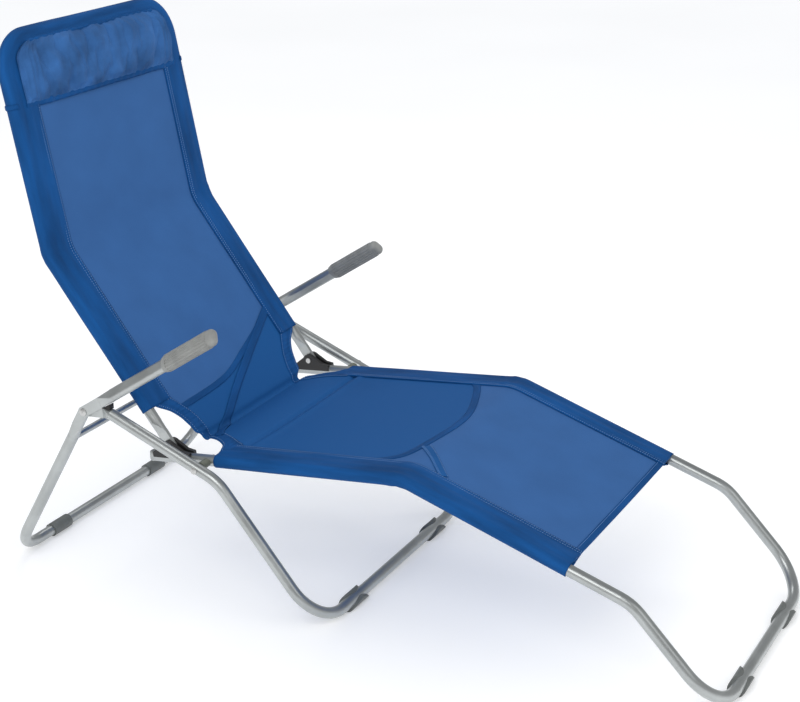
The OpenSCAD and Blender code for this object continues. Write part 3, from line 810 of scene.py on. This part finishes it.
def puff(piece, border, size):
    """Blows the bag up with Cloth, keeps the border and the back layer in place, and caps the travel."""
    scene = bpy.context.scene
    rest = [v.co.copy() for v in piece.data.vertices]
    group = piece.vertex_groups.new(name="pinned")
    group.add(border, 1.0, "REPLACE")
    group.add(list(range(size)), 1.0, "ADD")
    modifier = piece.modifiers.new("Cloth", "CLOTH")
    settings = modifier.settings
    settings.quality = 6
    settings.mass = 0.25
    settings.tension_stiffness = 6
    settings.compression_stiffness = 3
    settings.shear_stiffness = 3
    settings.bending_stiffness = 0.05
    settings.use_pressure = True
    settings.uniform_pressure_force = 3.5
    settings.shrink_min = -0.07
    settings.vertex_group_mass = "pinned"
    settings.effector_weights.gravity = 0
    modifier.collision_settings.use_collision = False
    scene.frame_start, scene.frame_end = 1, PUFF_FRAMES
    for number in range(1, PUFF_FRAMES + 1):
        scene.frame_set(number)
    puffed = piece.evaluated_get(bpy.context.evaluated_depsgraph_get()).data
    moved = [v.co.copy() for v in puffed.vertices]
    piece.modifiers.remove(modifier)
    scene.frame_set(1)
    for vertex, before, after in zip(piece.data.vertices, rest, moved):
        travel = after - before
        if travel.length > PUFF_CAP:
            travel *= PUFF_CAP / travel.length
        vertex.co = before + travel


def crumple(piece, size, columns, rows):
    """Slack lumps, and pleats gathered at both ends."""
    normal = sitter_side(UPPER_DIR)
    for index, vertex in enumerate(piece.data.vertices):
        if index < size:
            continue
        a = (index - size) % (columns + 1) / columns
        b = (index - size) // (columns + 1) / rows
        inside = smooth(min(a, 1 - a) * 16) * smooth(min(b, 1 - b) * 7)
        x = PILLOW_HALF * (2 * a - 1)
        lump = wrinkle(x * 22, b * 2.6, 7.0) + 0.5 * wrinkle(x * 55, b * 6, 8.0)
        ridge = 0.5 - abs(wrinkle(x * 30 + b * 1.5, b * 3 - x * 8, 11.0))
        end = 1 - smooth((min(a, 1 - a) - 0.05) / 0.09)
        bend = 1.5 * math.sin(3 * b) + 3 * wrinkle(x * 40, 0, 2.0)
        pleat = 0.0034 * smooth(min(b, 1 - b) * 9) * math.sin(2 * math.pi * x / PLEAT_PITCH + bend)
        up = inside * (0.0052 * lump + 0.0040 * ridge) + end * pleat
        vertex.co += normal * max(up, -0.0015)


def head_pillow():
    piece, border, size, columns, rows = pillow_shell()
    puff(piece, border, size)
    crumple(piece, size, columns, rows)
    piece.data.shade_smooth()
    finer = piece.modifiers.new("finer", "SUBSURF")
    finer.levels = finer.render_levels = 1
    return piece


def pillow_border(name, v, height):
    """The doubled border along the pillow's top or bottom edge, slightly ruffled."""
    rows, uvs = [], []
    count = 6
    for i in range(161):
        x = pillow_half(v) * (2 * i / 160 - 1)
        row = []
        for k in range(count + 1):
            share = k / count
            ruffle = 0.0009 * wrinkle(x * 60, share * 2, 14.0) + 0.0006 * math.sin(x * 320)
            waver = 0.0012 * wrinkle(x * 18, 0, 15.0)
            up = -0.0022 + 0.0028 * math.sin(math.pi * share) + ruffle
            row.append(pillow_point(x, v + height * (share - 0.5) + waver, up))
        rows.append(row)
        uvs.append([(x, 0.01 * k / count) for k in range(count + 1)])
    return grid_piece(name, rows, uvs, materials["hem"], 0.0010)


def pillow_loop(side, name):
    """Elastic loop that holds a lower corner of the pillow to the frame, over the sleeve."""
    centre = Vector((side * SEAT_X, BACK_TOP.y, BACK_TOP.z)) - (PILLOW_TOP + PILLOW_LEN - 0.002) * UPPER_DIR
    normal = sitter_side(UPPER_DIR)
    rows, uvs = [], []
    for i in range(33):
        angle = math.pi * (0.5 - 1.18 * i / 32)
        outward = Vector((side * math.cos(angle), 0, 0)) + normal * math.sin(angle)
        gather = 0.0004 * math.sin(i * 1.9)
        point = centre + (SLEEVE_R + 0.0017 + gather) * outward
        rows.append([point + UPPER_DIR * 0.0042 * (2 * k / 4 - 1) - outward * 0.0006 * (k % 4 == 0)
                     for k in range(5)])
        uvs.append([(0.001 * i, 0.002 * k) for k in range(5)])
    return grid_piece(name, rows, uvs, materials["hem"], 0.0011)


# ---- Assembly ----


def across_hinge(piece):
    """Bakes the piece's placement into its mesh; it is parented to neither the seat nor the back."""
    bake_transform(piece)


def build_sling():
    panel = sling_panel()
    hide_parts("back_sling", "seat_sling")
    on_panel = []

    sleeve_piece, *edge = back_sleeve()
    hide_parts("back_hem")
    rows = [sleeve_piece]
    rows += [stitches(f"back_stitches_{i}", seam_line(*edge, inset))
             for i, inset in enumerate(SEAM_INSETS)]
    for piece in rows:
        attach(piece, "back_frame")
    on_panel += rows

    for side, word in ((-1, "left"), (1, "right")):
        sleeve_piece, *edge = seat_sleeve(side, f"seat_sleeve_{word}")
        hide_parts(f"seat_hem_{word}")
        rows = [sleeve_piece]
        rows += [stitches(f"seat_stitches_{word}_{i}", seam_line(*edge, inset))
                 for i, inset in enumerate(SEAM_INSETS)]
        for piece in rows:
            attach(piece, "seat_frame")
        on_panel += rows

        hem = notch_hem(side, f"notch_hem_{word}")
        threads = [stitches(f"notch_stitches_{word}_{i}", hem_line(side, share))
                   for i, share in enumerate((0.07, 0.86))]
        for piece in (hem, *threads):
            across_hinge(piece)
        on_panel += [hem, *threads]

    foot_line = [(profile.length - 0.0005, x) for x in (EDGE_X - 0.002, -EDGE_X + 0.002)]
    foot = band("foot_hem", foot_line, 0.012, BAND_LIFT, materials["hem"], side=-1)
    foot_thread = stitches("foot_stitches", band_line(foot_line, -0.0095, 0.0019))
    seat_band = band("seat_arc_band", SEAT_ARC, 0.013, BAND_LIFT, materials["hem"])
    straps = [band("knee_strap", KNEE_STRAP, 0.017, 0.0014, materials["shaded_blue"])]
    straps += [stitches(f"knee_strap_stitches_{i}", band_line(KNEE_STRAP, offset, BAND_STITCH_LIFT))
               for i, offset in enumerate((-0.0072, -0.0045, 0.0072))]
    for piece in (foot, foot_thread, seat_band, *straps):
        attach(piece, "seat_frame")
    on_panel += [foot, foot_thread, seat_band, *straps]

    for name, line, width, lift in (("back_arc_band", BACK_ARC, 0.011, BAND_LIFT),
                                    ("hinge_strap", HINGE_STRAP, 0.016, 0.0021)):
        piece = band(name, line, width, lift, materials["hem"])
        across_hinge(piece)
        on_panel.append(piece)

    across_hinge(panel)
    notch = 2 * sum(EDGE_X - half_width(s) for s in stations(NOTCH_BACK, NOTCH_SEAT, 0.001)) * 0.001


def build_pillow():
    pillow = head_pillow()
    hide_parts("head_pillow")
    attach(pillow, "back_frame")
    trims = [pillow_border("pillow_border_low", PILLOW_LEN, 0.014),
             pillow_border("pillow_border_top", 0.001, 0.009),
             pillow_loop(-1, "pillow_loop_left"), pillow_loop(1, "pillow_loop_right")]
    for piece in trims:
        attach(piece, "back_frame")


# ---- Studio ----

CAMERA_FROM_PIVOT = Vector((-2.522, -1.782, 1.132))
AZIMUTH, ELEVATION, ROLL = -62.61, 20.21, -0.38
LENS = 78.75
SENSOR = 36.0
SHIFT_X, SHIFT_Y = -0.0042, 0.0062


def turned(azimuth, elevation, roll=0.0):
    """Camera rotation that looks along +Y at azimuth 0, and down by the elevation."""
    return (Matrix.Rotation(math.radians(azimuth), 3, "Z")
            @ Matrix.Rotation(math.radians(90 - elevation), 3, "X")
            @ Matrix.Rotation(math.radians(roll), 3, "Z"))


def camera():
    data = bpy.data.cameras.new("camera")
    data.lens, data.sensor_width = LENS, SENSOR
    data.shift_x, data.shift_y = SHIFT_X, SHIFT_Y
    seen = bpy.data.objects.new("camera", data)
    place = Matrix.Translation(LEG_PIVOT + CAMERA_FROM_PIVOT)
    seen.matrix_world = place @ turned(AZIMUTH, ELEVATION, ROLL).to_4x4()
    bpy.context.scene.collection.objects.link(seen)
    bpy.context.scene.camera = seen


def area_light(name, azimuth, elevation, distance, size, power):
    """A square lamp round the chair that points at its middle."""
    data = bpy.data.lights.new(name, "AREA")
    data.size, data.energy = size, power
    lamp = bpy.data.objects.new(name, data)
    rotation = turned(azimuth, elevation)
    middle = (cad_box[0] + cad_box[1]) / 2
    place = Matrix.Translation(middle + rotation @ Vector((0, 0, distance)))
    lamp.matrix_world = place @ rotation.to_4x4()
    bpy.context.scene.collection.objects.link(lamp)


def dimmer_in_reflections(nodes, links, plain, reflected):
    """A strength that falls from plain to reflected where the surface is seen in a reflection."""
    path = nodes.new("ShaderNodeLightPath")
    strength = nodes.new("ShaderNodeMapRange")
    strength.inputs["To Min"].default_value = plain
    strength.inputs["To Max"].default_value = reflected
    links.new(path.outputs["Is Glossy Ray"], strength.inputs["Value"])
    return strength.outputs["Result"]


def floor():
    """A wide pale floor with a faint, even tone and a little light of its own."""
    reach = 30.0
    mesh = bpy.data.meshes.new("floor")
    corners = [(x * reach, y * reach, 0) for x, y in ((-1, -1), (1, -1), (1, 1), (-1, 1))]
    mesh.from_pydata(corners, [], [(0, 1, 2, 3)])
    ground = bpy.data.objects.new("floor", mesh)
    bpy.context.scene.collection.objects.link(ground)
    material = bpy.data.materials.new("pale_floor")
    nodes, links, shader = sockets(material)
    place = nodes.new("ShaderNodeTexCoord")
    cloud = noise_node(nodes, links, place.outputs["Object"], 0.8)
    tone = ramp(nodes, [(0.3, (0.80, 0.80, 0.80)), (0.7, (0.83, 0.83, 0.83))])
    links.new(cloud.outputs["Fac"], tone.inputs["Fac"])
    links.new(tone.outputs["Color"], shader.inputs["Base Color"])
    shader.inputs["Roughness"].default_value = 0.9
    shader.inputs["Specular IOR Level"].default_value = 0.0
    shader.inputs["Emission Color"].default_value = (1, 1, 1, 1)
    shader.inputs["Emission Strength"].default_value = 0.30
    mesh.materials.append(material)


def studio():
    world = bpy.data.worlds.new("studio")
    bpy.context.scene.world = world
    world.use_nodes = True
    background = world.node_tree.nodes["Background"]
    nodes, links = world.node_tree.nodes, world.node_tree.links
    place = nodes.new("ShaderNodeTexCoord")
    height = nodes.new("ShaderNodeSeparateXYZ")
    links.new(place.outputs["Generated"], height.inputs["Vector"])
    sky = ramp(nodes, [(0.0, (1.0, 1.0, 1.0)), (0.35, (0.97, 0.98, 1.0)), (1.0, (0.62, 0.64, 0.67))])
    links.new(height.outputs["Z"], sky.inputs["Fac"])
    links.new(sky.outputs["Color"], background.inputs["Color"])
    links.new(dimmer_in_reflections(nodes, links, 1.0, 0.38), background.inputs["Strength"])
    area_light("key", -85, 38, 3.2, 1.8, 30)
    area_light("fill", -20, 30, 3.4, 1.6, 8)
    area_light("rim", 120, 50, 3.4, 0.8, 12)
    bpy.context.scene.view_settings.view_transform = "Standard"


camera()
floor()
studio()
dress_cad_nodes()
build_sling()
build_pillow()
